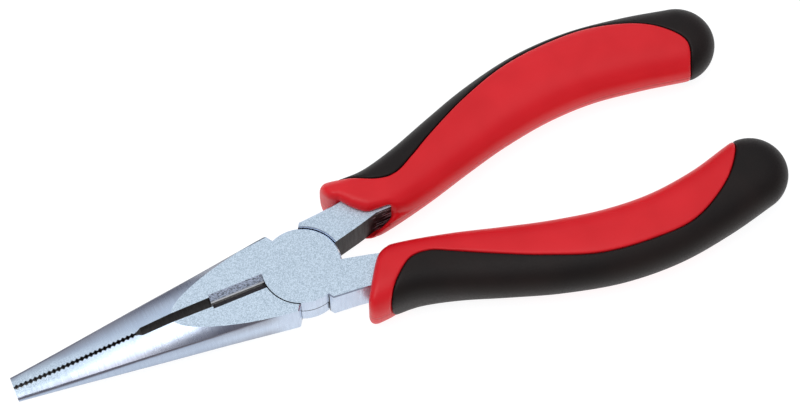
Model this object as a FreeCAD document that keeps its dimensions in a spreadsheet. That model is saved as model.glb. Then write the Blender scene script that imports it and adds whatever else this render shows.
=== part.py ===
import FreeCAD, Part
import os

import Sketcher
from FreeCAD import Placement, Rotation, Vector

# Long-nose side-cutting pliers: two lap-jointed forgings on one rivet, each with a two-shot moulded grip.
#
# Frame: +X towards the jaw tips, +Z up along the rivet, origin on the rivet's axis at the joint's lower
# face. Half A has its disc on top, its jaw at -Y and its handle at +Y. Half B is the same forging turned
# over about the X direction. Each half is drawn in half A's position, and half B's body is then turned over.

DRIVING_DIMENSIONS = [
    # joint
    ("joint_thickness", 10.5, "thickness of the joint, the jaws' flats and the bare tang"),
    ("disc_radius", 10.0, "round bearing disc of each half"),
    ("recess_radius", 10.3, "round recess that the other half's disc turns in"),
    ("lap_gap", 0.05, "gap between the two discs at mid-thickness"),
    ("rivet_radius", 3.5, "rivet shank"),
    ("rivet_head_radius", 4.6, "countersunk rivet head, ground flush"),
    ("rivet_head_depth", 1.1, "depth of the 45 degree countersink"),
    ("rivet_clearance", 0.05, "radial running clearance in half B"),
    # jaw plan
    ("jaw_tip_x", 75.5, "flat end of the jaws"),
    ("heel_rim_x", 4.0, "jaw heel where it meets the disc"),
    ("heel_rim_y", 9.0, "jaw heel where it meets the disc"),
    ("heel_corner_x", 5.2, "outer corner of the jaw heel"),
    ("heel_corner_y", 10.85, "outer corner of the jaw heel"),
    ("tip_half_width", 3.2, "half width of the closed jaws at the tip"),
    ("side_round", 0.8, "rounding between a jaw's flat side and the ground nose cone"),
    ("edge_break", 0.3, "chamfer on the outer edges of the joint"),
    ("land_gap", 0.15, "half gap between the gripping lands at the tip"),
    ("land_rear_gap", 0.24, "half gap between the gripping lands at their rear end"),
    ("land_start_x", 43.7, "rear end of the gripping lands"),
    ("slot_front_x", 42.2, "front end of the parallel slot"),
    ("slot_front_y", 1.05, "half width of the slot at its front end"),
    ("slot_rear_x", 24.0, "rear end of the slot, where the cutter starts"),
    ("slot_rear_y", 1.3, "half width of the slot at its rear end"),
    # gripping teeth
    ("tooth_first_x", 44.63, "rearmost cross groove"),
    ("tooth_pitch", 1.204, "distance between cross grooves"),
    ("tooth_count", 26.0, "number of cross grooves"),
    ("tooth_depth", 0.45, "depth of a cross groove"),
    ("tooth_half_width", 0.5, "half width of a cross groove at the land"),
    ("tooth_overcut", 0.2, "reach of the groove's cutter above the land"),
    # side cutter
    ("edge_gap", 0.25, "half gap between the cutting edges"),
    ("bevel_half_width", 1.95, "half width of the cutter's bevelled groove at the face"),
    ("bevel_depth", 1.7, "depth of the cutting edges below the face"),
    ("relief_depth", 6.2, "depth at which the relief behind the edge ends"),
    # bare tang, in half A's plan
    ("shoulder_rim_x", 2.8, "tang shoulder where it meets the disc"),
    ("shoulder_rim_y", 9.45, "tang shoulder where it meets the disc"),
    ("shoulder_corner_x", 3.8, "outer corner of the tang shoulder"),
    ("shoulder_corner_y", 11.05, "outer corner of the tang shoulder"),
    ("tang_waist_x", 10.5, "straight outer edge of the tang"),
    ("tang_waist_y", 11.6, "straight outer edge of the tang"),
    ("mouth_outer_x", 15.3, "outer end of the grip's mouth"),
    ("mouth_outer_y", 12.3, "outer end of the grip's mouth"),
    ("mouth_bend_x", 20.2, "inner part of the grip's mouth"),
    ("mouth_bend_y", 6.4, "inner part of the grip's mouth"),
    ("mouth_inner_x", 22.4, "inner end of the grip's mouth"),
    ("mouth_inner_y", 5.7, "inner end of the grip's mouth"),
    ("mouth_gap", 0.15, "gap between the grip and the tang's edges at the mouth"),
    ("tang_seat_x", 28.5, "rear end of the full-thickness tang, inside the grip"),
    ("tang_seat_outer_y", 12.9, "outer edge of the tang's rear end"),
    ("tang_seat_inner_y", 5.8, "inner edge of the tang's rear end"),
    ("tang_bend_x", 16.8, "bend in the tang's inner edge"),
    ("tang_bend_y", 4.1, "bend in the tang's inner edge"),
    ("tang_rim_x", 9.6, "tang's inner edge where it leaves the disc"),
    ("tang_rim_y", 2.35, "tang's inner edge where it leaves the disc"),
    ("disc_anchor", 6.0, "point inside the disc where plan outlines close"),
    # tang inside the grip
    ("core_thickness", 6.0, "thickness of the tang inside the grip"),
    ("core_half_width", 3.6, "half width of the tang inside the grip"),
    ("core_end_x", 104.0, "end of the tang inside the grip"),
    ("core_end_y", 22.2, "end of the tang inside the grip"),
    # grip
    ("grip_skin", 2.0, "thickness of the soft inlay over the hard grip"),
    ("front_inner_x", 19.2, "inner point of the grip's slanted front face"),
    ("front_inner_y", 3.2, "inner point of the grip's slanted front face"),
    ("front_bend_x", 12.2, "end of the slanted front face, where it turns round the collar's lobe"),
    ("front_bend_y", 13.0, "end of the slanted front face, where it turns round the collar's lobe"),
    ("front_lobe_x", 10.3, "foremost point of the collar's lobe"),
    ("front_lobe_y", 17.0, "foremost point of the collar's lobe"),
    ("front_outer_x", 13.0, "end of the collar's lobe on its outer side"),
    ("front_outer_y", 20.0, "end of the collar's lobe on its outer side"),
    ("notch_front_x", 17.0, "front end of the slanted notch beside the tang"),
    ("notch_front_height", -7.1, "height of the notch's front end above mid-thickness"),
    ("notch_back_x", 27.0, "back of the notch"),
    ("notch_back_height", 4.8, "height of the notch's back corner above mid-thickness"),
    ("notch_y", 5.8, "depth of the notch, to the tang's inner wall"),
    ("tail_x", 114.8, "centre of the grip's round end"),
    ("tail_y", 20.2, "centre of the grip's round end"),
    ("tail_heading", -12.0, "direction of the grip at its round end"),
    ("tail_half_width", 10.2, "radius of the grip's round end in plan"),
    ("tail_half_depth", 7.3, "half thickness of the grip's round end"),
]

# Construction values: how far cutting shapes run past what they cut, in mm, how closely a point has to lie
# on a plane, and the number of points that an edge is tested at.
NOTCH_REACH = 25.0
WASTE_REACH = 40.0
ZONE_REACH = 30.0
TAIL_REACH = 10.0
ON_PLANE = 0.001
EDGE_SAMPLES = 9
LEAST_RISE = 0.5
LEAST_RUN = 1.0

# Nose cone of the closed jaws: distance ahead of the pivot, half width, half height.
NOSE_STATIONS = [
    ("heel", 2.0, 12.6, 12.6),
    ("root", 14.0, 11.5, 9.3),
    ("shoulder", 24.0, 10.8, 6.8),
    ("flat_end", 34.0, 10.0, 5.3),
    ("nose", 50.0, 8.5, 3.35),
    ("point", 77.0, 3.9, 1.15),
]

# Grip along the handle: distance behind the pivot, distance from the middle plane of the closed pliers,
# heading outwards in degrees, half width, half thickness.
GRIP_STATIONS = [
    ("collar_front", 6.0, 10.4, -1.0, 9.0, 8.3),
    ("collar", 16.0, 10.4, 3.0, 8.5, 8.4),
    ("neck", 25.0, 11.1, 9.0, 8.2, 8.1),
    ("waist", 35.0, 13.4, 14.5, 8.5, 7.4),
    ("palm_front", 47.0, 17.2, 17.5, 9.0, 7.1),
    ("palm", 60.0, 21.2, 15.0, 9.6, 7.2),
    ("belly", 74.0, 24.1, 8.0, 10.0, 7.4),
    ("crest", 88.0, 24.8, -2.0, 10.2, 7.5),
    ("heel_bend", 102.0, 22.9, -9.5, 10.2, 7.5),
]

# The round end follows a quarter circle: angles of its sections from the widest one.
TAIL_ANGLES = [0.0, 24.0, 45.0, 63.0, 80.0]

# Line between the hard grip and the soft inlay, seen from above, from the outer side of the collar
# along the grip and round to its inner side at the tail.
INLAY_EDGE = [
    (15.0, 21.0),
    (19.3, 15.4),
    (24.5, 11.7),
    (30.0, 11.4),
    (36.5, 14.0),
    (47.0, 20.0),
    (60.0, 25.2),
    (76.0, 28.7),
    (90.0, 29.3),
    (100.0, 27.3),
    (107.5, 22.7),
    (112.5, 16.5),
    (114.5, 6.0),
]

doc = FreeCAD.newDocument("long_nose_pliers")
sheet = doc.addObject("Spreadsheet::Sheet", "sizes")


def fill_sheet():
    """Every driving dimension gets a row: what it is, and its value under a word as alias."""
    rows = list(DRIVING_DIMENSIONS)
    for name, *values in NOSE_STATIONS:
        for part, value in zip(("x", "half_width", "half_height"), values):
            rows.append((f"nose_{name}_{part}", value, f"nose cone at the {name}"))
    for name, *values in GRIP_STATIONS:
        for part, value in zip(("x", "y", "heading", "half_width", "half_depth"), values):
            rows.append((f"grip_{name}_{part}", value, f"grip at the {name}"))
    for number, (edge_x, edge_y) in enumerate(INLAY_EDGE, 1):
        rows.append((f"inlay_edge_{number}_x", edge_x, "inlay line, distance behind the pivot"))
        rows.append((f"inlay_edge_{number}_y", edge_y, "inlay line, distance from the middle plane"))
    for number, angle in enumerate(TAIL_ANGLES, 1):
        rows.append((f"tail_angle_{number}", angle, "section of the grip's round end"))
    for row, (alias, value, meaning) in enumerate(rows, 1):
        sheet.set(f"A{row}", meaning)
        sheet.set(f"B{row}", str(value))
        sheet.setAlias(f"B{row}", alias)
    doc.recompute()


def size(expression):
    """Value of an expression of the sheet's aliases, where each alias is written as sizes.alias."""
    return float(sheet.evalExpression(expression))


def origin_plane(body, role):
    return next(item for item in body.Origin.OriginFeatures if item.Role == role)


def outline(body, name, role, corners, offset=None):
    """Closed outline of straight sides. Each corner is a pair of expressions, bound to the sheet."""
    sketch = body.newObject("Sketcher::SketchObject", name)
    sketch.AttachmentSupport = [(origin_plane(body, role), "")]
    sketch.MapMode = "FlatFace"
    if offset:
        sketch.setExpression("AttachmentOffset.Base.z", offset)
    points = [Vector(size(x), size(y), 0) for x, y in corners]
    for index, point in enumerate(points):
        sketch.addGeometry(Part.LineSegment(point, points[(index + 1) % len(points)]), False)
    for index in range(len(points)):
        sketch.addConstraint(Sketcher.Constraint("Coincident", index, 2, (index + 1) % len(points), 1))
    for index, (corner, point) in enumerate(zip(corners, points)):
        for kind, expression, value in (("DistanceX", corner[0], point.x), ("DistanceY", corner[1], point.y)):
            number = sketch.addConstraint(Sketcher.Constraint(kind, -1, 1, index, 1, value))
            sketch.setExpression(f"Constraints[{number}]", expression)
    return sketch


def circle(body, name, radius, offset):
    """Circle about the rivet's axis, at a height."""
    sketch = body.newObject("Sketcher::SketchObject", name)
    sketch.AttachmentSupport = [(origin_plane(body, "XY_Plane"), "")]
    sketch.MapMode = "FlatFace"
    sketch.setExpression("AttachmentOffset.Base.z", offset)
    sketch.addGeometry(Part.Circle(Vector(), Vector(0, 0, 1), size(radius)), False)
    sketch.addConstraint(Sketcher.Constraint("Coincident", 0, 3, -1, 1))
    number = sketch.addConstraint(Sketcher.Constraint("Radius", 0, size(radius)))
    sketch.setExpression(f"Constraints[{number}]", radius)
    return sketch


def feature(body, kind, name, profile, length=None, reverse=False, midplane=False):
    """Pad or Pocket of a sketch."""
    made = body.newObject(f"PartDesign::{kind}", name)
    made.Profile = profile
    made.Reversed = reverse
    made.SideType = "Symmetric" if midplane else "One side"
    if length:
        made.setExpression("Length", length)
    doc.recompute()
    return made


def ellipse(name, x, y, z, yaw, half_width, half_height):
    """Upright elliptical section. Its normal lies in the XY plane, at yaw - 90 degrees from +X."""
    section = doc.addObject("Part::Ellipse", name)
    section.setExpression("MajorRadius", half_width)
    section.setExpression("MinorRadius", half_height)
    section.setExpression("Placement", f"placement(vector({x}; {y}; {z}); rotation({yaw}; 0; 90))")
    return section


def loft(name, sections):
    made = doc.addObject("Part::Loft", name)
    made.Sections = sections
    made.Solid = True
    made.Ruled = False
    made.MaxDegree = 3
    return made


def boolean(kind, name, base, tool):
    made = doc.addObject(f"Part::{kind}", name)
    made.Base = base
    made.Tool = tool
    return made


def nose_cone():
    """Outside of the closed jaws: one tapering cone, ground on both halves together."""
    sections = []
    for name, *_ in NOSE_STATIONS:
        station = f"sizes.nose_{name}_"
        place = (f"{station}x", "0", "sizes.joint_thickness / 2", "90")
        sections.append(ellipse(f"nose_{name}", *place, f"{station}half_width", f"{station}half_height"))
    return loft("nose_cone", sections)


def jaw_blank(half, cone):
    """Jaw of one half: its plan, full thickness, inside the nose cone."""
    plan_body = doc.addObject("PartDesign::Body", f"jaw_plan_{half}")
    plan = [
        ("sizes.heel_rim_x", "-sizes.heel_rim_y"),
        ("sizes.heel_corner_x", "-sizes.heel_corner_y"),
        ("sizes.jaw_tip_x", "-sizes.tip_half_width"),
        ("sizes.jaw_tip_x", "-sizes.land_gap"),
        ("sizes.land_start_x", "-sizes.land_rear_gap"),
        ("sizes.slot_front_x", "-sizes.slot_front_y"),
        ("sizes.slot_rear_x", "-sizes.slot_rear_y"),
        ("sizes.slot_rear_x", "-sizes.edge_gap"),
        ("sizes.disc_anchor", "-sizes.edge_gap"),
    ]
    sketch = outline(plan_body, f"jaw_outline_{half}", "XY_Plane", plan)
    feature(plan_body, "Pad", f"jaw_pad_{half}", sketch, "sizes.joint_thickness")
    blank = boolean("Common", f"jaw_blank_{half}", cone, plan_body)
    doc.recompute()
    heel = Vector(size("sizes.heel_corner_x"), -size("sizes.heel_corner_y"), 0)
    tip = Vector(size("sizes.jaw_tip_x"), -size("sizes.tip_half_width"), 0)
    side_normal = (tip - heel).cross(Vector(0, 0, 1)).normalize()
    radius = size("sizes.side_round")
    rounding = []
    for number, edge in enumerate(blank.Shape.Edges, 1):
        points = edge.discretize(EDGE_SAMPLES)
        on_side = all(abs((point - heel).dot(side_normal)) < ON_PLANE for point in points)
        span = points[-1] - points[0]
        if on_side and abs(span.z) > LEAST_RISE and abs(span.x) > LEAST_RUN:
            rounding.append((number, radius, radius))
    rounded = doc.addObject("Part::Fillet", f"jaw_rounded_{half}")
    rounded.Base = blank
    rounded.Edges = rounding
    return rounded


def cut_cutter(body, half, bevel_up):
    """Side cutter: a 45 degree bevel from one face to the cutting edge, and a relief behind the edge."""
    face = "sizes.joint_thickness" if bevel_up else "0"
    inward = "-" if bevel_up else "+"
    outward = "+" if bevel_up else "-"
    far_face = "-1" if bevel_up else "sizes.joint_thickness + 1"
    section = [
        ("1", f"{face} {outward} 1"),
        ("-sizes.bevel_half_width - 1", f"{face} {outward} 1"),
        ("-sizes.edge_gap", f"{face} {inward} sizes.bevel_depth"),
        ("-sizes.slot_rear_y", f"{face} {inward} sizes.relief_depth"),
        ("-sizes.slot_rear_y", far_face),
        ("1", far_face),
    ]
    sketch = outline(body, f"cutter_section_{half}", "YZ_Plane", section, "sizes.slot_rear_x")
    feature(body, "Pocket", f"cutter_{half}", sketch, "sizes.slot_rear_x - sizes.disc_anchor + 1")


def cut_teeth(body, half):
    """Cross grooves along the gripping land: one V groove and a row of copies."""
    groove = [
        ("sizes.tooth_first_x - sizes.tooth_half_width", "-sizes.land_gap"),
        ("sizes.tooth_first_x", "-sizes.land_gap - sizes.tooth_depth"),
        ("sizes.tooth_first_x + sizes.tooth_half_width", "-sizes.land_gap"),
        ("sizes.tooth_first_x", "sizes.tooth_overcut"),
    ]
    sketch = outline(body, f"tooth_outline_{half}", "XY_Plane", groove)
    tooth = feature(body, "Pocket", f"tooth_{half}", sketch, "sizes.joint_thickness", reverse=True)
    row = body.newObject("PartDesign::LinearPattern", f"teeth_{half}")
    row.Originals = [tooth]
    row.Direction = (sketch, ["H_Axis"])
    row.setExpression("Length", "sizes.tooth_pitch * (sizes.tooth_count - 1)")
    row.setExpression("Occurrences", "sizes.tooth_count")
    body.Tip = row
    doc.recompute()


def add_tang(body, half):
    """Tang at full thickness to just inside the grip, and the thinner tang along the grip."""
    bare = [
        ("-sizes.shoulder_rim_x + 1", "sizes.disc_anchor"),
        ("-sizes.shoulder_rim_x", "sizes.shoulder_rim_y"),
        ("-sizes.shoulder_corner_x", "sizes.shoulder_corner_y"),
        ("-sizes.tang_waist_x", "sizes.tang_waist_y"),
        ("-sizes.mouth_outer_x", "sizes.mouth_outer_y"),
        ("-sizes.tang_seat_x", "sizes.tang_seat_outer_y"),
        ("-sizes.tang_seat_x", "sizes.tang_seat_inner_y"),
        ("-sizes.mouth_inner_x", "sizes.mouth_inner_y"),
        ("-sizes.tang_bend_x", "sizes.tang_bend_y"),
        ("-sizes.tang_rim_x", "sizes.tang_rim_y"),
        ("-sizes.disc_anchor", "sizes.tang_rim_y"),
    ]
    sketch = outline(body, f"tang_outline_{half}", "XY_Plane", bare)
    feature(body, "Pad", f"tang_{half}", sketch, "sizes.joint_thickness")
    stations = [name for name, *_ in GRIP_STATIONS if name != "collar_front"]
    inner = []
    outer = []
    for name in stations:
        x = f"-sizes.grip_{name}_x"
        y = f"sizes.grip_{name}_y"
        inner.append((x, f"{y} - sizes.core_half_width"))
        outer.append((x, f"{y} + sizes.core_half_width"))
    inner[0] = ("-sizes.tang_bend_x", "sizes.tang_bend_y + 1")
    inner[1] = ("-sizes.mouth_inner_x", "sizes.mouth_inner_y")
    outer[0] = ("-sizes.tang_waist_x - 1", "sizes.tang_waist_y - 1")
    end = [("-sizes.core_end_x", "sizes.core_end_y")]
    middle = "(sizes.joint_thickness - sizes.core_thickness) / 2"
    sketch = outline(body, f"tang_core_outline_{half}", "XY_Plane", inner + end + outer[::-1], middle)
    feature(body, "Pad", f"tang_core_{half}", sketch, "sizes.core_thickness")


def add_disc(body, half, clearance):
    """Bearing disc in the upper half of the thickness, recess for the other disc, and the rivet hole."""
    under = "sizes.joint_thickness / 2 + sizes.lap_gap / 2"
    recess = circle(body, f"recess_circle_{half}", "sizes.recess_radius", under)
    feature(body, "Pocket", f"recess_{half}", recess, "sizes.joint_thickness")
    disc = circle(body, f"disc_circle_{half}", "sizes.disc_radius", under)
    feature(body, "Pad", f"disc_{half}", disc, "sizes.joint_thickness / 2 - sizes.lap_gap / 2")
    head = f"sizes.rivet_head_radius + {clearance}"
    shank = f"sizes.rivet_radius + {clearance}"
    hole_section = [
        ("0", "1"),
        (shank, "1"),
        (shank, "sizes.joint_thickness - sizes.rivet_head_depth"),
        (head, "sizes.joint_thickness"),
        (head, "sizes.joint_thickness + 1"),
        ("0", "sizes.joint_thickness + 1"),
    ]
    sketch = outline(body, f"rivet_hole_section_{half}", "XZ_Plane", hole_section)
    hole = body.newObject("PartDesign::Groove", f"rivet_hole_{half}")
    hole.Profile = sketch
    hole.ReferenceAxis = (sketch, ["V_Axis"])
    hole.Angle = 360
    doc.recompute()


def break_edges(body, half):
    """Chamfer on the outline of the joint's two faces, between the jaw heel and the grip's mouth."""
    faces = (0, size("sizes.joint_thickness"))
    hole = size("sizes.rivet_head_radius") + 1
    edges = []
    front = size("sizes.heel_corner_x") + ON_PLANE
    rear = -size("sizes.mouth_outer_x") - ON_PLANE
    for number, edge in enumerate(body.Shape.Edges, 1):
        points = edge.discretize(EDGE_SAMPLES)
        on_face = any(all(abs(point.z - level) < ON_PLANE for point in points) for level in faces)
        near_joint = all(rear < point.x < front for point in points)
        off_rivet = all(abs(point.x) + abs(point.y) > hole for point in points)
        if on_face and near_joint and off_rivet:
            edges.append(f"Edge{number}")
    base = body.Tip
    chamfer = body.newObject("PartDesign::Chamfer", f"edge_break_{half}")
    chamfer.Base = (base, edges)
    chamfer.setExpression("Size", "sizes.edge_break")
    doc.recompute()


def forged_half(half, cone, bevel_up, clearance):
    """One forging in half A's position: jaw at -Y, disc on top, tang at +Y."""
    body = doc.addObject("PartDesign::Body", f"plier_half_{half}")
    body.BaseFeature = jaw_blank(half, cone)
    doc.recompute()
    cut_cutter(body, half, bevel_up)
    cut_teeth(body, half)
    add_tang(body, half)
    add_disc(body, half, clearance)
    break_edges(body, half)
    body.Label = f"plier_half_{half}"
    return body


def rivet():
    """Pivot rivet: straight shank and a countersunk head at each end, flush with the joint's faces."""
    body = doc.addObject("PartDesign::Body", "pivot_rivet")
    section = [
        ("0", "0"),
        ("sizes.rivet_head_radius", "0"),
        ("sizes.rivet_radius", "sizes.rivet_head_depth"),
        ("sizes.rivet_radius", "sizes.joint_thickness - sizes.rivet_head_depth"),
        ("sizes.rivet_head_radius", "sizes.joint_thickness"),
        ("0", "sizes.joint_thickness"),
    ]
    sketch = outline(body, "rivet_section", "XZ_Plane", section)
    turned = body.newObject("PartDesign::Revolution", "rivet_turned")
    turned.Profile = sketch
    turned.ReferenceAxis = (sketch, ["V_Axis"])
    turned.Angle = 360
    body.Label = "pivot_rivet"
    return body


def grip_sections(prefix, half, sign, inset):
    """Sections of the grip from the collar to its round end, all pulled in by an inset."""
    middle = "sizes.joint_thickness / 2"
    sections = []
    for name, *_ in GRIP_STATIONS:
        station = f"sizes.grip_{name}_"
        sections.append(
            ellipse(
                f"{prefix}_{half}_{name}",
                f"-{station}x",
                f"{sign} * {station}y",
                middle,
                f"{sign} * (90 - {station}heading)",
                f"{station}half_width - {inset}",
                f"{station}half_depth - {inset}",
            )
        )
    for number in range(1, len(TAIL_ANGLES) + 1):
        angle = f"(sizes.tail_angle_{number} * 1 deg)"
        reach = f"(sizes.tail_half_width - {inset}) * sin{angle}"
        heading = "(sizes.tail_heading * 1 deg)"
        sections.append(
            ellipse(
                f"{prefix}_{half}_tail_{number}",
                f"-sizes.tail_x - {reach} * cos{heading}",
                f"{sign} * (sizes.tail_y + {reach} * sin{heading})",
                middle,
                f"{sign} * (90 - sizes.tail_heading)",
                f"(sizes.tail_half_width - {inset}) * cos{angle}",
                f"(sizes.tail_half_depth - {inset}) * cos{angle}",
            )
        )
    return sections


def front_waste(half, sign):
    """Everything in front of the grip's end: a slanted face that turns round the collar's outer lobe."""
    points = {}
    for name in ("inner", "bend", "lobe", "outer"):
        points[name] = Vector(-size(f"sizes.front_{name}_x"), sign * size(f"sizes.front_{name}_y"), 0)
    slant = (points["bend"] - points["inner"]).normalize()
    start = points["inner"] - slant * WASTE_REACH
    finish = points["outer"] + Vector(0, sign * WASTE_REACH, 0)
    ahead = Vector(2 * WASTE_REACH, 0, 0)
    corners = [points["outer"], finish, finish + ahead, start + ahead, start]
    sides = [Part.Arc(points["bend"], points["lobe"], points["outer"]).toShape()]
    sides += [Part.makeLine(near, far) for near, far in zip(corners, corners[1:] + [points["bend"]])]
    waste = doc.addObject("Part::Feature", f"front_waste_{half}")
    waste.Shape = Part.Face(Part.Wire(sides)).extrude(Vector(0, 0, 2 * WASTE_REACH))
    waste.Placement = Placement(Vector(0, 0, -WASTE_REACH), Rotation())
    return waste


def inlay_zone(half, sign):
    """Outer side and tail of the grip, where the soft inlay lies, as a tall block."""
    edge = [
        Vector(-size(f"sizes.inlay_edge_{number}_x"), sign * size(f"sizes.inlay_edge_{number}_y"), 0)
        for number in range(1, len(INLAY_EDGE) + 1)
    ]
    line = Part.BSplineCurve()
    line.interpolate(edge)
    tail_end = -size("sizes.tail_x + sizes.tail_half_width") - TAIL_REACH
    far_out = sign * WASTE_REACH
    corners = [edge[-1], Vector(tail_end, edge[-1].y, 0), Vector(tail_end, far_out, 0)]
    corners += [Vector(edge[0].x, far_out, 0), edge[0]]
    sides = [Part.makeLine(start, finish) for start, finish in zip(corners, corners[1:])]
    zone = doc.addObject("Part::Feature", f"inlay_zone_{half}")
    zone.Shape = Part.Face(Part.Wire([line.toShape()] + sides)).extrude(Vector(0, 0, 2 * ZONE_REACH))
    zone.Placement = Placement(Vector(0, 0, -ZONE_REACH), Rotation())
    return zone


def notch(half, sign):
    """Slanted notch beside the tang's inner wall, deep towards the face that half A turns down."""
    middle = size("sizes.joint_thickness / 2")
    heights = {}
    for end in ("front", "back"):
        heights[end] = middle - sign * size(f"sizes.notch_{end}_height")
    open_height = middle - sign * NOTCH_REACH
    front = -size("sizes.notch_front_x")
    back = -size("sizes.notch_back_x")
    side = sign * size("sizes.notch_y")
    corners = [
        Vector(front, side, heights["front"]),
        Vector(back, side, heights["back"]),
        Vector(back, side, open_height),
        Vector(0, side, open_height),
        Vector(0, side, heights["front"]),
    ]
    room = doc.addObject("Part::Feature", f"notch_{half}")
    profile = Part.Face(Part.makePolygon(corners + corners[:1]))
    room.Shape = profile.extrude(Vector(0, -sign * NOTCH_REACH, 0))
    return room


def mouth_waste(half, sign):
    """Room over and under the bare tang, so that its flat faces end just in front of the grip's mouth."""
    body = doc.addObject("PartDesign::Body", f"mouth_waste_{half}")
    corners = [
        ("-sizes.tang_waist_x + 1", f"{sign} * sizes.tang_waist_y"),
        ("-sizes.tang_waist_x", f"{sign} * sizes.tang_waist_y"),
        ("-sizes.mouth_outer_x - sizes.mouth_gap", f"{sign} * sizes.mouth_outer_y"),
        ("-sizes.mouth_bend_x - sizes.mouth_gap", f"{sign} * sizes.mouth_bend_y"),
        ("-sizes.mouth_inner_x - sizes.mouth_gap", f"{sign} * sizes.mouth_inner_y"),
        ("-sizes.tang_bend_x", f"{sign} * sizes.tang_bend_y"),
        ("-sizes.tang_rim_x", f"{sign} * sizes.tang_rim_y"),
    ]
    sketch = outline(body, f"mouth_outline_{half}", "XY_Plane", corners)
    feature(body, "Pad", f"mouth_pad_{half}", sketch, "sizes.joint_thickness * 4", midplane=True)
    return body


def grip(half, sign, forging):
    """Hard grip moulded round the tang, and the soft inlay moulded over its outer side and tail."""
    waste = front_waste(half, sign)
    zone = inlay_zone(half, sign)
    outer_loft = loft(f"grip_loft_{half}", grip_sections("grip", half, sign, "0"))
    envelope = boolean("Cut", f"grip_blank_{half}", outer_loft, waste)
    notched = boolean("Cut", f"grip_notched_{half}", envelope, notch(half, sign))
    outside = boolean("Cut", f"grip_outside_{half}", notched, mouth_waste(half, sign))
    core_loft = loft(f"core_loft_{half}", grip_sections("core", half, sign, "sizes.grip_skin"))
    core = boolean("Cut", f"grip_core_{half}", core_loft, waste)
    inlay_block = boolean("Common", f"inlay_block_{half}", outside, zone)
    inlay = boolean("Cut", f"grip_inlay_{half}", inlay_block, core)
    hard = boolean("Cut", f"grip_hard_{half}", outside, inlay)
    body = boolean("Cut", f"grip_body_{half}", hard, forging)
    body.Label = f"grip_body_{half}"
    inlay.Label = f"grip_inlay_{half}"
    return body, inlay


def check_document():
    for item in doc.Objects:
        bad = [state for state in item.State if state in ("Invalid", "Error")]
        if bad:
            raise RuntimeError(f"{item.Name} is {bad}")


def write_steps(pieces):
    os.makedirs("parts", exist_ok=True)
    for piece in pieces:
        shape = piece.Shape
        if shape.isNull() or not shape.isValid() or len(shape.Solids) != 1:
            raise RuntimeError(f"{piece.Label} has no single valid solid")
        shape.exportStep(f"parts/{piece.Label}.step")
        print(f"{piece.Label}: {shape.Volume:.0f} mm3")


fill_sheet()
cone = nose_cone()
half_a = forged_half("a", cone, bevel_up=True, clearance="0")
half_b = forged_half("b", cone, bevel_up=False, clearance="sizes.rivet_clearance")
turned_over = "placement(vector(0; 0; sizes.joint_thickness); rotation(0; 0; 180))"
half_b.setExpression("Placement", turned_over)
pin = rivet()
doc.recompute()
grip_a = grip("a", 1, half_a)
grip_b = grip("b", -1, half_b)
doc.recompute()
check_document()
write_steps([half_a, half_b, pin, *grip_a, *grip_b])
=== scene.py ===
import math
from functools import reduce

import bpy
import numpy as np
from mathutils import Matrix, Vector


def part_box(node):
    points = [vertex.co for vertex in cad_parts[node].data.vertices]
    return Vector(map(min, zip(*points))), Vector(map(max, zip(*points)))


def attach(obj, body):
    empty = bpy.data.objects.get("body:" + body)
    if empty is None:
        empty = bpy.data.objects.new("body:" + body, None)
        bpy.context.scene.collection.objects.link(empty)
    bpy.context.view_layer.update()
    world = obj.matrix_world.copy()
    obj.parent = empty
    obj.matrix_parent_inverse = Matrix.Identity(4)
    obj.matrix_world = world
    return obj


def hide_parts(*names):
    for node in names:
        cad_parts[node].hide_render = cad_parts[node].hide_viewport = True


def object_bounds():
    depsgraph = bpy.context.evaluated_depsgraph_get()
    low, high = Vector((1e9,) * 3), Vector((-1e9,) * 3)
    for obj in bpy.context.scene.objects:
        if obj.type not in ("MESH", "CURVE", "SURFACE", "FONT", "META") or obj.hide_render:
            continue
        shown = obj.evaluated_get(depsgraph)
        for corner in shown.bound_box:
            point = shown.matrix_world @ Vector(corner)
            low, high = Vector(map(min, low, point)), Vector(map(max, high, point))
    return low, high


# Looks of the long-nose pliers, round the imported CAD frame.
#
# The frame has +X towards the jaw tips and +Z along the rivet. The forgings and the rivet are the CAD nodes
# with a steel finish. The two-shot grips are modelled here as closed solids: a signed field describes each
# shape, and a mesh is drawn through its zero level. Grip dimensions are in millimetres.

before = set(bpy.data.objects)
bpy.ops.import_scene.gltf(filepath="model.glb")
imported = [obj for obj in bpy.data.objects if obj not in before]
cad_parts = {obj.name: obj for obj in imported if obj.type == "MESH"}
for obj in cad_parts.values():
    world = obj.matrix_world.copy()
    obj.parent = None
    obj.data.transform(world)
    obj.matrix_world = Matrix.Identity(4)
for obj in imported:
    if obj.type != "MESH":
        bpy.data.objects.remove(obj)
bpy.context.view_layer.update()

MM = 0.001
joint_low, joint_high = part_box("plier_half_a")
MID_HEIGHT = (joint_low.z + joint_high.z) / 2
HALF_THICKNESS = (joint_high.z - joint_low.z) / 2 / MM

# ---------------------------------------------------------------- grip shape

# Along the handle, front to tail: distance behind the pivot, inner and outer side's distance from the
# pliers' middle plane, half depth, and squareness of the section.
GRIP_STATIONS = [
    (2.0, 1.8, 19.6, 8.3, 2.8),
    (12.0, 1.9, 19.4, 8.3, 2.8),
    (19.0, 2.3, 18.7, 8.3, 2.7),
    (26.0, 3.3, 19.2, 8.0, 2.6),
    (36.0, 5.4, 22.2, 7.35, 2.4),
    (48.0, 8.8, 26.7, 7.1, 2.3),
    (60.0, 11.9, 30.8, 7.2, 2.3),
    (74.0, 14.2, 34.1, 7.4, 2.3),
    (88.0, 14.5, 34.85, 7.5, 2.3),
    (102.0, 12.7, 33.1, 7.5, 2.3),
    (114.4, 10.3, 30.4, 7.3, 2.3),
]

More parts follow.
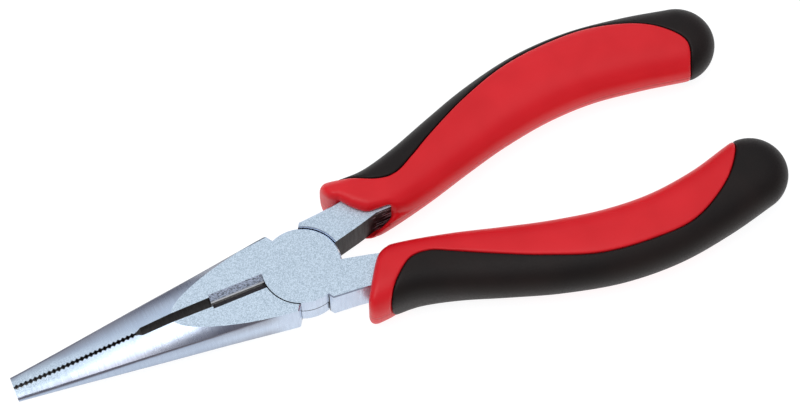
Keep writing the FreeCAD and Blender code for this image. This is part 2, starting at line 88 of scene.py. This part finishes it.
# How far each handle's inner and outer side is drawn in further, at the same stations, and how far its
# collar's lobe reaches forward of half way.
INNER_TRIM = {
    "a": (0, 0, 0, 0, 0, 0, 0.2, 0.7, 1.3, 1.6, 0.9),
    "b": (0, 0.2, 0.3, 0.3, 0.3, 0.2, 0.1, 0, 0, 0, 0),
}
OUTER_TRIM = {
    "a": (0.6, 0.6, 0.2, 0, 0, 0, 0, 0, 0, 0, 0),
    "b": (0, 0, 0, 0, 0, 0, 0, 0.1, 0.2, 0.2, 0.1),
}
LOBE_REACH = {"a": 0.7, "b": -0.65}

# Line between the hard grip and the soft inlay on the face with the wide inlay, seen from above.
WIDE_SEAM = [
    (13.8, 22.0),
    (16.4, 17.5),
    (19.6, 13.6),
    (24.8, 9.8),
    (30.0, 9.7),
    (35.1, 12.0),
    (45.1, 17.1),
    (55.3, 22.0),
    (68.2, 27.0),
    (81.3, 28.9),
    (93.9, 28.4),
    (105.1, 22.8),
    (112.0, 15.6),
    (114.5, 9.5),
    (115.0, 4.0),
]

# The same line on the other face, where the inlay is narrower.
NARROW_SEAM = [
    (13.6, 22.0),
    (15.8, 18.9),
    (19.6, 16.9),
    (25.6, 13.5),
    (30.8, 13.1),
    (36.5, 15.9),
    (43.5, 20.0),
    (54.8, 25.7),
    (68.1, 30.6),
    (80.8, 32.4),
    (93.0, 32.2),
    (104.1, 28.5),
    (111.0, 23.7),
    (115.2, 17.5),
    (113.6, 11.0),
    (111.5, 4.0),
]

# The seam changes from one line to the other over this height, centred on the middle plane.
SEAM_TURN = 12

# Plan points of the bare tang where it enters the grip, and of the line where the upper skin meets it.
TANG_OUTER = [(10.5, 11.65), (15.3, 12.3)]
TANG_INNER = [(22.4, 5.7), (16.8, 4.05), (9.6, 2.3)]
TANG_END = 28.6
MOUTH_LINE = [(15.1, 12.2), (17.2, 9.3), (20.4, 6.3), (24.0, 5.1)]
THROAT_CEILING = -3.0

# The notch beside the tang: its side, its leaning front face with that face's turn in plan, its lean with
# height and what brings its field to millimetres, then its top and its back.
NOTCH_SIDE = 5.75
NOTCH_FRONT = 21.3
NOTCH_TURN, NOTCH_TURN_START = 2.35, 3.0
NOTCH_LEAN = 0.84
NOTCH_SCALE = 0.37
NOTCH_TOP = 4.4
NOTCH_BACK = 26.8

# Thickness of the inlay, width of the seam's groove, the tang's clearance, and the rounded edges.
SHELL = 1.9
CORE_GAP = 0.05
SEAM_GAP = 0.12
TANG_FIT = 0.03
SEAM_ROUND = 0.45
LIP_ROUND = 2.6
LOBE_ROUND, COLLAR_ROUND = 2.5, 3.5
MOUTH_ROUND = 0.5
THROAT_ROUND = 2.4
NOTCH_ROUND, NOTCH_BACK_ROUND = 1.7, 1.5

# Grid that the fields are worked out on: its cell, and its limits along X, Y and Z.
CELL = 0.35
GRID_X = (-127.0, -8.0)
GRID_Y = (-1.5, 37.0)
GRID_Z = (-9.2, 9.2)


def smooth_curve(points, pieces):
    """Catmull-Rom curve through rows of numbers."""
    rows = np.array(points, float)
    padded = np.vstack([2 * rows[0] - rows[1], rows, 2 * rows[-1] - rows[-2]])
    made = []
    for i in range(len(rows) - 1):
        a, b, c, d = padded[i : i + 4]
        for u in np.arange(pieces) / pieces:
            bend, twist = 2 * a - 5 * b + 4 * c - d, 3 * b - a - 3 * c + d
            made.append(0.5 * (2 * b + (c - a) * u + bend * u**2 + twist * u**3))
    made.append(rows[-1])
    return np.array(made)


def project(curve, s, t):
    """For each plan point: the nearest place on the curve, as index, distance along and signed offset."""
    start, run = curve[:-1, :2], np.diff(curve[:, :2], axis=0)
    length = np.hypot(run[:, 0], run[:, 1])
    heading = run / length[:, None]
    flat = np.stack([s.ravel(), t.ravel()], 1)
    nearest = np.zeros(len(flat), int)
    middle = start + run / 2
    for first in range(0, len(flat), 4096):
        part = flat[first : first + 4096]
        gap = (part[:, None, 0] - middle[None, :, 0]) ** 2 + (part[:, None, 1] - middle[None, :, 1]) ** 2
        nearest[first : first + 4096] = gap.argmin(1)
    away = flat - start[nearest]
    along = (away * heading[nearest]).sum(1)
    offset = heading[nearest, 0] * away[:, 1] - heading[nearest, 1] * away[:, 0]
    return [made.reshape(s.shape) for made in (nearest, along / length[nearest], offset, along)]


def both(a, b, radius):
    """Where two solids overlap, with the edge between them rounded."""
    corner = np.hypot(np.maximum(radius + a, 0), np.maximum(radius + b, 0))
    return np.minimum(np.maximum(a, b), -radius) + corner


def true_distance(field):
    """The field divided by its own slope, so that near its zero level it reads as millimetres."""
    slope = np.sqrt(sum(part**2 for part in np.gradient(field, CELL)))
    return field / np.maximum(slope, 0.04)


def half_plane(s, t, start, end):
    """Signed distance from the line through two plan points, positive on its left."""
    run = np.array(end, float) - np.array(start, float)
    run /= np.hypot(*run)
    return run[0] * (t - start[1]) - run[1] * (s - start[0])


def envelope(s, t, z, half):
    """Outer surface of the whole grip, before its front is cut."""
    stations = []
    for station, inner_trim, outer_trim in zip(GRIP_STATIONS, INNER_TRIM[half], OUTER_TRIM[half]):
        behind, inner, outer, depth, square = station
        inner += inner_trim
        outer -= outer_trim
        stations.append((behind, (inner + outer) / 2, (outer - inner) / 2, depth, square))
    curve = smooth_curve(stations, 24)
    index, share, offset, along = project(curve, s, t)
    share = np.clip(share, 0, 1)
    row = curve[index] * (1 - share[..., None]) + curve[index + 1] * share[..., None]
    width, depth, square = row[..., 2], row[..., 3], row[..., 4]
    last = index == len(curve) - 2
    past = np.where(last, along - np.hypot(*(curve[-1] - curve[-2])[:2]), 0)
    sideways = np.hypot(offset, np.maximum(past, 0))
    level = ((sideways / width) ** square)[..., None] + (np.abs(z) / depth[..., None]) ** square[..., None]
    return true_distance(level ** (1 / square[..., None]) - 1)


def front_cut(s, t, reach):
    """Plan outline of the collar's front: a slanted face, turning round the lobe on its outer side."""
    bend = (12.2 - reach / 2, 13.0)
    slanted = half_plane(s, t, (19.2, 3.2), bend)
    lobe = half_plane(s, t, bend, (9.9 - reach, 18.0))
    outer = half_plane(s, t, (9.9 - reach, 17.4), (12.4 - reach, 20.8))
    return both(both(slanted, lobe, LOBE_ROUND), outer, COLLAR_ROUND)


def seam_side(s, t, z):
    """Signed distance from the seam in plan, negative on the inlay's side."""
    sides = []
    for line in (WIDE_SEAM, NARROW_SEAM):
        sides.append(-project(smooth_curve(line, 16), s, t)[2][..., None])
    share = np.clip(0.5 + z / SEAM_TURN, 0, 1)
    share = share * share * (3 - 2 * share)
    return sides[0] * share + sides[1] * (1 - share)


def behind_line(s, t, points):
    """Signed distance from a bent plan line, positive where any of its runs has the point on its left."""
    return np.minimum.reduce([half_plane(s, t, start, end) for start, end in zip(points, points[1:])])


def tang_room(s, t, z):
    """The space that the bare tang takes in the mouth."""
    outer, inner = half_plane(s, t, *TANG_OUTER), behind_line(s, t, TANG_INNER)
    plan = np.maximum(np.maximum(outer, inner), s - TANG_END)
    return np.maximum(plan[..., None] - TANG_FIT, np.abs(z) - HALF_THICKNESS - TANG_FIT)


def throat_room(s, t, z):
    """The recess over the tang on the narrow-inlay face, back to the line where the grip meets the tang."""
    outer, back = half_plane(s, t, *TANG_OUTER), behind_line(s, t, MOUTH_LINE)
    return np.maximum(np.maximum(outer, back)[..., None], z - THROAT_CEILING)


def notch_room(s, t, z):
    """The slanted notch beside the tang's inner wall, undercut, and deepest at the narrow-inlay face."""
    wall = (t - NOTCH_SIDE)[..., None]
    front = (s - NOTCH_FRONT - NOTCH_TURN * np.maximum(t - NOTCH_TURN_START, 0))[..., None] + NOTCH_LEAN * z
    front *= NOTCH_SCALE
    back = (s - NOTCH_BACK)[..., None] + 0 * z
    return both(np.maximum(np.maximum(wall, front), z - NOTCH_TOP), back, NOTCH_BACK_ROUND)


def zero_level(field, low):
    """Vertices and four-sided faces of the surface where the field is zero, one vertex to a crossed cell."""
    shape = np.array(field.shape) - 1
    count = np.zeros(shape, np.float32)
    place = np.zeros((3, *shape), np.float32)
    inside = field < 0

    def corner(values, dx, dy, dz):
        return values[dx : dx + shape[0], dy : dy + shape[1], dz : dz + shape[2]]

    for axis in range(3):
        others = [other for other in range(3) if other != axis]
        for first in (0, 1):
            for second in (0, 1):
                near = [0, 0, 0]
                near[others[0]], near[others[1]] = first, second
                far = list(near)
                far[axis] = 1
                a, b = corner(field, *near), corner(field, *far)
                crossed = corner(inside, *near) != corner(inside, *far)
                share = np.where(crossed, a / np.where(crossed, a - b, 1), 0)
                count += crossed
                place[axis] += share
                place[others[0]] += crossed * first
                place[others[1]] += crossed * second
    used = count > 0
    number = np.full(shape, -1)
    number[used] = np.arange(used.sum())
    cells = np.argwhere(used)
    verts = low + CELL * (cells + (place[:, used] / count[used]).T)
    faces = []
    for axis in range(3):
        u, v = (axis + 1) % 3, (axis + 2) % 3
        here = np.moveaxis(inside, (axis, u, v), (0, 1, 2))
        cell = np.moveaxis(number, (axis, u, v), (0, 1, 2))
        leaving = here[:-1, 1:-1, 1:-1] & ~here[1:, 1:-1, 1:-1]
        entering = ~here[:-1, 1:-1, 1:-1] & here[1:, 1:-1, 1:-1]
        quad = [cell[:, :-1, :-1], cell[:, 1:, :-1], cell[:, 1:, 1:], cell[:, :-1, 1:]]
        faces.append(np.stack([c[leaving] for c in quad], 1))
        faces.append(np.stack([c[entering] for c in quad[::-1]], 1))
    return verts, np.vstack(faces)


def grip_fields(half):
    """Fields of a half's hard grip and soft inlay, on handle A's side, and their grid's low corner."""
    x, y, z = (np.arange(*limits, CELL) for limits in (GRID_X, GRID_Y, GRID_Z))
    s, t = np.meshgrid(-x, y, indexing="ij")
    whole = envelope(s, t, z, half)
    inlay_side = seam_side(s, t, z)
    front = front_cut(s, t, LOBE_REACH[half])[..., None] + 0 * z
    hard = both(both(whole, front, LIP_ROUND), SEAM_GAP / 2 - inlay_side, SEAM_ROUND)
    core = np.maximum(whole + SHELL + CORE_GAP, front + SHELL)
    hard = np.minimum(hard, core)
    hard = both(hard, -throat_room(s, t, z), THROAT_ROUND)
    hard = both(hard, -tang_room(s, t, z), MOUTH_ROUND)
    hard = both(hard, -notch_room(s, t, z), NOTCH_ROUND)
    soft = both(whole, inlay_side + SEAM_GAP / 2, SEAM_ROUND)
    soft = np.maximum(soft, -(whole + SHELL))
    return hard, soft, np.array([x[0], y[0], z[0]])


def solid(name, verts, faces, body, turned):
    """A closed smooth mesh object riding on a CAD body, turned over about X for half B."""
    mesh = bpy.data.meshes.new(name)
    mesh.from_pydata(verts * MM, [], faces)
    if turned:
        mesh.transform(Matrix.Rotation(math.pi, 4, "X"))
    mesh.transform(Matrix.Translation((0, 0, MID_HEIGHT)))
    mesh.polygons.foreach_set("use_smooth", [True] * len(mesh.polygons))
    mesh.update()
    made = bpy.data.objects.new(name, mesh)
    bpy.context.scene.collection.objects.link(made)
    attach(made, body)
    return made


# ---------------------------------------------------------------- materials

# Where the forgings change finish, in metres: how far the dark facing walls of tangs and jaws reach from the
# pliers' middle plane (dark oxide on the tangs, painted shade on the jaws), the round bearing disc, and the
# running gap round it.
TANG_WALL_REACH = 0.0066
JAW_WALL_REACH = 0.0019
DISC_RADIUS = 0.0100
GAP_RADIUS = 0.0103
GAP_WIDTH = 0.0004

# The jaw's side in plan, which is its outer corner at the heel and its taper, then the cross grooves of its
# gripping land, and the cutter's half width and front end.
HEEL_X = 0.0052
HEEL_Y = 0.01085
JAW_TAPER = 0.1088
TOOTH_FIRST_X = 0.04463
TOOTH_PITCH = 0.001204
CUTTER_Y = 0.002
CUTTER_X = 0.024

# Colours of the steel's parts. The dark bevel is painted shade, the dark oxide also serves as painted shade,
# and the edge line is painted shade.
BRIGHT_BEVEL = (0.66, 0.74, 0.90)
PAINTED_SHADE_BEVEL = (0.035, 0.028, 0.03)
OXIDE_AND_SHADE = (0.022, 0.013, 0.013)
SCRAPED_STEEL = (0.75, 0.72, 0.74)
PAINTED_EDGE_SHADE = (0.06, 0.06, 0.08)


class Finish:
    """A material under construction: its nodes, and short ways to add and join them."""

    def __init__(self, name, colour, roughness, metallic=0.0, specular=0.5):
        self.material = bpy.data.materials.new(name)
        self.material.use_nodes = True
        self.tree = self.material.node_tree
        self.shader = self.tree.nodes["Principled BSDF"]
        self.shader.inputs["Base Color"].default_value = (*colour, 1)
        self.shader.inputs["Roughness"].default_value = roughness
        self.shader.inputs["Metallic"].default_value = metallic
        self.shader.inputs["Specular IOR Level"].default_value = specular
        self.place = self.add("TexCoord").outputs["Object"]
        split, normal = self.add("SeparateXYZ"), self.add("SeparateXYZ")
        self.join(self.place, split.inputs[0])
        self.join(self.add("TexCoord").outputs["Normal"], normal.inputs[0])
        self.x = split.outputs["X"]
        self.beside = self.math("ABSOLUTE", split.outputs["Y"])
        self.from_middle = self.math("ABSOLUTE", self.math("SUBTRACT", split.outputs["Z"], MID_HEIGHT))
        squares = self.math("ADD", self.math("POWER", self.x, 2.0), self.math("POWER", self.beside, 2.0))
        self.radius = self.math("SQRT", squares)
        self.upright = self.math("ABSOLUTE", normal.outputs["Z"])
        self.wall = self.ramp(self.upright, 0.4, 0.6, 1.0, 0.0)
        self.slope = self.math("COMPARE", self.upright, 0.707, 0.1)

    def add(self, kind, **settings):
        made = self.tree.nodes.new("ShaderNode" + kind)
        for key, value in settings.items():
            setattr(made, key, value)
        return made

    def join(self, source, target):
        self.tree.links.new(source, target)

    def math(self, operation, *values):
        made = self.add("Math", operation=operation)
        for value, socket in zip(values, made.inputs):
            if isinstance(value, (int, float)):
                socket.default_value = value
            else:
                self.join(value, socket)
        return made.outputs[0]

    def product(self, *shares):
        return reduce(lambda first, second: self.math("MULTIPLY", first, second), shares)

    def largest(self, *shares):
        return reduce(lambda first, second: self.math("MAXIMUM", first, second), shares)

    def ramp(self, value, low, high, out_low=0.0, out_high=1.0):
        """Smooth step of a value between two limits."""
        made = self.add("MapRange", interpolation_type="SMOOTHSTEP")
        self.join(value, made.inputs["Value"])
        for key, number in (("From Min", low), ("From Max", high), ("To Min", out_low), ("To Max", out_high)):
            made.inputs[key].default_value = number
        return made.outputs["Result"]

    def noise(self, scale, detail=3.0, stretch=(1, 1, 1), roughness=0.55):
        """Noise in the object's own metres, with about scale grains to the metre."""
        sized = self.add("Mapping")
        sized.inputs["Scale"].default_value = stretch
        self.join(self.place, sized.inputs["Vector"])
        made = self.add("TexNoise")
        self.join(sized.outputs[0], made.inputs["Vector"])
        made.inputs["Scale"].default_value = scale
        made.inputs["Detail"].default_value = detail
        made.inputs["Roughness"].default_value = roughness
        return made.outputs["Fac"]

    def mix(self, share, first, second):
        """Colour between two colours or colour sockets."""
        made = self.add("Mix", data_type="RGBA")
        self.join(share, made.inputs["Factor"])
        for value, socket in ((first, made.inputs["A"]), (second, made.inputs["B"])):
            socket = [k for k in made.inputs if k.name == socket.name and k.type == "RGBA"][0]
            if isinstance(value, tuple):
                socket.default_value = (*value, 1)
            else:
                self.join(value, socket)
        return [k for k in made.outputs if k.type == "RGBA"][0]

    def bump(self, height, depth, strength=1.0, under=None):
        """Surface relief from a height, depth being the size of one unit in metres."""
        made = self.add("Bump")
        made.inputs["Strength"].default_value = strength
        made.inputs["Distance"].default_value = depth
        self.join(height, made.inputs["Height"])
        if under is not None:
            self.join(under, made.inputs["Normal"])
        return made.outputs["Normal"]


def grip_red():
    """Hard red shell: a fine moulded grain, and the mould's parting line round its middle."""
    made = Finish("grip_red", (0.82, 0.008, 0.015), 0.38, specular=0.3)
    cloud, grain = made.noise(60, 2), made.noise(2600, 2)
    colour = made.mix(made.ramp(cloud, 0.3, 0.7), (0.70, 0.006, 0.012), (0.78, 0.011, 0.018))
    parting = made.math("MULTIPLY", made.ramp(made.from_middle, 0.00004, 0.00022, 1.0, 0.0), made.wall)
    shoulder = made.math("MULTIPLY", made.ramp(made.from_middle, 0.0009, 0.0012, 1.0, 0.0), made.wall)
    colour = made.mix(made.math("MULTIPLY", parting, 0.55), colour, (0.20, 0.004, 0.006))
    made.join(colour, made.shader.inputs["Base Color"])
    made.join(made.ramp(grain, 0.3, 0.7, 0.36, 0.44), made.shader.inputs["Roughness"])
    relief = made.bump(made.math("SUBTRACT", shoulder, parting), 0.00006, 0.6)
    made.join(made.bump(grain, 0.00002, 0.5, relief), made.shader.inputs["Normal"])
    return made.material


def grip_black():
    """Soft black inlay: a leathery grain on brown-black rubber."""
    made = Finish("grip_black", (0.012, 0.007, 0.006), 0.5, specular=0.2)
    cloud, grain = made.noise(80, 2), made.noise(2600, 4, roughness=0.7)
    colour = made.mix(made.ramp(cloud, 0.3, 0.7), (0.008, 0.005, 0.004), (0.013, 0.0075, 0.006))
    made.join(colour, made.shader.inputs["Base Color"])
    made.join(made.ramp(grain, 0.3, 0.7, 0.40, 0.56), made.shader.inputs["Roughness"])
    made.join(made.bump(grain, 0.00006, 0.6), made.shader.inputs["Normal"])
    return made.material


def ground_colour(made, marks, outward, rim_start, shoulder):
    """Ground nose and sides: painted shade on the nose's outer rim, a painted highlight where the nose's rear
    meets the flat, and painted shade on the jaw sides.
    """
    ground = made.mix(made.ramp(made.noise(90, 3), 0.3, 0.7), (0.49, 0.58, 0.72), (0.56, 0.65, 0.79))
    ground = made.mix(made.ramp(marks, 0.35, 0.75, 0.0, 0.25), ground, (0.38, 0.42, 0.52))
    # Painted highlight: where the rear of the nose faces up, its colour is mixed towards near-white (0.90,
    # 0.96, 1.0), standing in for the bright sky it reflects. shoulder sets how strong this is.
    painted_nose_highlight = made.product(made.ramp(made.x, 0.016, 0.034, shoulder, 0.0), made.ramp(made.upright, 0.7, 0.95))
    # Painted shade: the nose's outer rim is darkened towards (0.19, 0.17, 0.19), standing in for the dark
    # horizon it reflects.
    below = made.ramp(made.from_middle, 0.0, HALF_THICKNESS * MM, 0.0, 0.8)
    painted_rim_shade = made.product(
        made.ramp(outward, rim_start, 1.0, 0.0, 0.8),
        made.ramp(made.x, 0.008, 0.014),
        made.largest(made.ramp(made.upright, 0.1, 0.5), below),
        made.math("SUBTRACT", 1.0, painted_nose_highlight),
    )
    ground = made.mix(painted_nose_highlight, made.mix(painted_rim_shade, ground, (0.19, 0.17, 0.19)), (0.90, 0.96, 1.0))
    # Painted shade: the jaws' side walls are darkened towards (0.27, 0.35, 0.49), more so towards the tip.
    painted_side_shade = made.product(made.wall, made.ramp(made.x, 0.012, 0.035, 0.0, 0.5))
    return made.mix(painted_side_shade, ground, (0.27, 0.35, 0.49))


def dark_share(made):
    """How dark the steel is: dark oxide on the tangs' facing walls, painted shade on the jaws' facing walls,
    dark lines at the running gap and the discs' seam, and painted shade between the teeth.
    """
    # Walls facing the other half: dark oxide on the tangs, and painted shade on the jaws, which lie in the
    # other half's shade.
    reach = made.ramp(made.x, -0.012, 0.012, TANG_WALL_REACH, JAW_WALL_REACH)
    facing = made.ramp(made.math("SUBTRACT", made.beside, reach), 0.0, 0.0004, 1.0, 0.0)
    gap = made.math("COMPARE", made.radius, GAP_RADIUS, GAP_WIDTH / 2)
    seam = made.math("COMPARE", made.radius, DISC_RADIUS, GAP_WIDTH / 2)
    # Painted shade: the grooves between the teeth, near the middle plane, are darkened as the shade that falls
    # between them.
    from_groove = made.math("PINGPONG", made.math("SUBTRACT", made.x, TOOTH_FIRST_X), TOOTH_PITCH / 2)
    tooth_shade = made.math("ADD", made.beside, made.math("MULTIPLY", from_groove, 0.75))
    return made.largest(
        made.product(facing, made.wall),
        made.product(gap, made.wall),
        made.product(seam, made.ramp(made.from_middle, 0.0001, 0.0003, 0.9, 0.0)),
        made.product(made.ramp(tooth_shade, 0.00055, 0.0008, 0.9, 0.0), made.ramp(made.x, 0.043, 0.044)),
    )


def oxide_and_shade_colour(made):
    """Dark oxide, used also as painted shade, with bright scrape marks on the tang's wall behind the grip's
    notch.
    """
    scrape = made.noise(1500, 3, stretch=(0.12, 1.0, 1.0), roughness=0.7)
    scraped = made.product(made.ramp(scrape, 0.5, 0.62), made.ramp(made.x, -0.0235, -0.0205, 1.0, 0.0))
    return made.mix(made.math("MULTIPLY", scraped, 0.8), OXIDE_AND_SHADE, SCRAPED_STEEL)


def bevel_colour(made, bevel):
    """A cutter's bevel: fine grinding along it, and a painted highlight along its edge."""
    hatch = made.noise(4200, 3, stretch=(0.4, 1.0, 1.0), roughness=0.7)
    hatched = made.mix(made.ramp(hatch, 0.42, 0.62), bevel, tuple(share * 0.25 for share in bevel))
    # Painted highlight: a brighter line along the cutting edge.
    painted_edge_glint = made.ramp(made.beside, 0.0003, 0.0007, 1.0, 0.0)
    return made.mix(painted_edge_glint, hatched, tuple(min(1.0, share * 1.6) for share in bevel))


def steel(name, bevel, rim_start, outline, shoulder):
    """Forged steel: sandblasted flats, a nose ground across, and dark walls where the halves face each other:
    dark oxide on the tangs and painted shade on the jaws.

    bevel is the colour of this half's cutter bevel. Half B's is painted shade. The painted shade on the outer
    rim of its nose starts at rim_start, a share of the jaw's half width. outline is how dark the painted-shade
    line along the flat's outer edge is, and shoulder how strong the painted highlight is where the rear of the
    ground nose meets the flat.
    """
    made = Finish(name, (0.53, 0.62, 0.75), 0.4, metallic=1.0, specular=0.1)
    speckle, marks = made.noise(3300, 3, roughness=0.8), made.noise(2200, 3, stretch=(1.0, 0.06, 0.06))
    flat = made.ramp(made.upright, 0.985, 0.998)
    side = made.math("MULTIPLY", made.math("SUBTRACT", made.x, HEEL_X), JAW_TAPER)
    outward = made.math("DIVIDE", made.beside, made.math("SUBTRACT", HEEL_Y, side))

    blasted = made.mix(made.ramp(speckle, 0.36, 0.62), (0.37, 0.45, 0.52), (0.62, 0.71, 0.80))
    colour = made.mix(flat, ground_colour(made, marks, outward, rim_start, shoulder), blasted)
    # Painted shade: a dark line along the outer edge of the nose's flat, standing in for the shadowed floor it
    # reflects. outline sets how dark it is.
    line = made.product(
        made.ramp(outward, 0.960, 0.985, 0.0, outline),
        made.ramp(made.x, 0.0048, 0.0060),
        made.ramp(made.upright, 0.2, 0.5),
    )
    colour = made.mix(line, colour, PAINTED_EDGE_SHADE)
    # Dark oxide on the tangs' facing walls. Painted shade on the jaws' facing walls and between the teeth.
    dark = dark_share(made)
    colour = made.mix(dark, colour, oxide_and_shade_colour(made))
    cutter = made.product(
        made.ramp(made.beside, CUTTER_Y - 0.0001, CUTTER_Y + 0.0001, 1.0, 0.0),
        made.slope,
        made.ramp(made.x, CUTTER_X - 0.0002, CUTTER_X + 0.0002, 1.0, 0.0),
    )
    colour = made.mix(cutter, colour, bevel_colour(made, bevel))
    made.join(colour, made.shader.inputs["Base Color"])

    dull = made.largest(dark, cutter)
    made.join(made.math("SUBTRACT", 1.0, made.math("MULTIPLY", dull, 0.75)), made.shader.inputs["Metallic"])
    rough = made.math("ADD", made.ramp(flat, 0, 1, 0.29, 0.50), made.ramp(marks, 0.3, 0.7, -0.04, 0.05))
    rough = made.math("ADD", rough, made.math("MULTIPLY", dull, 0.15))
    made.join(rough, made.shader.inputs["Roughness"])
    grains = made.bump(speckle, 0.00005, 0.4)
    made.join(made.bump(marks, 0.00002, 0.25, grains), made.shader.inputs["Normal"])
    return made.material


# ---------------------------------------------------------------- pieces

finishes = {"grip_body": ("grip_red", grip_red()), "grip_inlay": ("grip_black", grip_black())}
for half in "ab":
    hard, soft, low_corner = grip_fields(half)
    for part, field in (("grip_body", hard), ("grip_inlay", soft)):
        slot_name, material = finishes[part]
        verts, faces = zero_level(field, low_corner)
        piece = solid(f"{part}_moulded_{half}", verts, faces, f"half_{half}", half == "b")
        piece.data.materials.append(material)
        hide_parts(f"{part}_{half}")

# Each steel part's bevel colour (half B's is painted shade), and its rim_start, outline and shoulder.
STEEL_PARTS = {
    "plier_half_a": (BRIGHT_BEVEL, 0.2, 0.85, 0.4),
    "plier_half_b": (PAINTED_SHADE_BEVEL, 0.35, 0.0, 0.0),
    "pivot_rivet": (BRIGHT_BEVEL, 0.5, 0.0, 0.0),
}
for node_name, look in STEEL_PARTS.items():
    material = steel(f"{node_name}_steel", *look)
    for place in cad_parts[node_name].material_slots:
        place.material = material

# ---------------------------------------------------------------- floor, light and camera

FLOOR_SIZE = 4.0
FLOOR_DROP = 0.0001
FLOOR_GLOW = 0.9
bpy.ops.mesh.primitive_plane_add(size=FLOOR_SIZE, location=(0, 0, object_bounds()[0].z - FLOOR_DROP))
floor = bpy.context.object
floor.name = "floor"
floor_finish = Finish("floor_paper", (0.22, 0.22, 0.22), 0.9, specular=0.1)
paper = floor_finish.mix(floor_finish.noise(30, 2), (0.21, 0.21, 0.21), (0.23, 0.23, 0.23))
floor_finish.join(paper, floor_finish.shader.inputs["Base Color"])
floor_finish.shader.inputs["Emission Color"].default_value = (1.0, 1.0, 1.0, 1)
floor_finish.shader.inputs["Emission Strength"].default_value = FLOOR_GLOW
floor.data.materials.append(floor_finish.material)

# The studio's sky gets lighter along one direction: where each shade lies on it, and the shade.
SKY_UPWARD = (0.0, -0.3, 1.0)
SKY_STOPS = [
    (0.15, (0.44, 0.42, 0.44)),
    (0.45, (0.24, 0.26, 0.33)),
    (0.72, (0.62, 0.66, 0.74)),
    (0.84, (1.02, 1.06, 1.10)),
    (0.97, (0.78, 0.82, 0.86)),
]

world = bpy.data.worlds.new("studio")
bpy.context.scene.world = world
world.use_nodes = True
sky = world.node_tree
direction = sky.nodes.new("ShaderNodeTexCoord")
height = sky.nodes.new("ShaderNodeVectorMath")
height.operation = "DOT_PRODUCT"
height.inputs[1].default_value = SKY_UPWARD
shade = sky.nodes.new("ShaderNodeValToRGB")
sky.links.new(direction.outputs["Generated"], height.inputs[0])
sky.links.new(height.outputs["Value"], shade.inputs["Fac"])
sky.links.new(shade.outputs["Color"], sky.nodes["Background"].inputs["Color"])
while len(shade.color_ramp.elements) < len(SKY_STOPS):
    shade.color_ramp.elements.new(0.5)
for stop, (place, colour) in zip(shade.color_ramp.elements, SKY_STOPS):
    stop.position = place
    stop.color = (*colour, 1)


def soft_box(name, place, target, width, length, power):
    """A rectangular studio light that faces its target."""
    lamp = bpy.data.lights.new(name, "AREA")
    lamp.shape = "RECTANGLE"
    lamp.size, lamp.size_y = width, length
    lamp.energy = power
    made = bpy.data.objects.new(name, lamp)
    made.location = place
    made.rotation_euler = (Vector(target) - Vector(place)).to_track_quat("-Z", "Y").to_euler()
    bpy.context.scene.collection.objects.link(made)


soft_box("key", (0.34, 0.04, 1.02), (0.34, 0.04, 0), 0.9, 0.52, 3.5)

VIEW_TARGET = Vector((-0.02964, -0.00734, MID_HEIGHT))
VIEW_ELEVATION = math.radians(64.96)
VIEW_TURN = math.radians(23.85)
VIEW_DISTANCE = 0.5044
toward_camera = Vector(
    (
        math.sin(VIEW_TURN) * math.cos(VIEW_ELEVATION),
        math.cos(VIEW_TURN) * math.cos(VIEW_ELEVATION),
        math.sin(VIEW_ELEVATION),
    )
)
camera_data = bpy.data.cameras.new("camera")
camera_data.lens = 90
camera_data.sensor_width = 36
camera_data.clip_start = 0.01
camera = bpy.data.objects.new("camera", camera_data)
camera.location = VIEW_TARGET + toward_camera * VIEW_DISTANCE
camera.rotation_euler = (-toward_camera).to_track_quat("-Z", "Y").to_euler()
bpy.context.scene.collection.objects.link(camera)
bpy.context.scene.camera = camera
bpy.context.scene.view_settings.view_transform = "Standard"
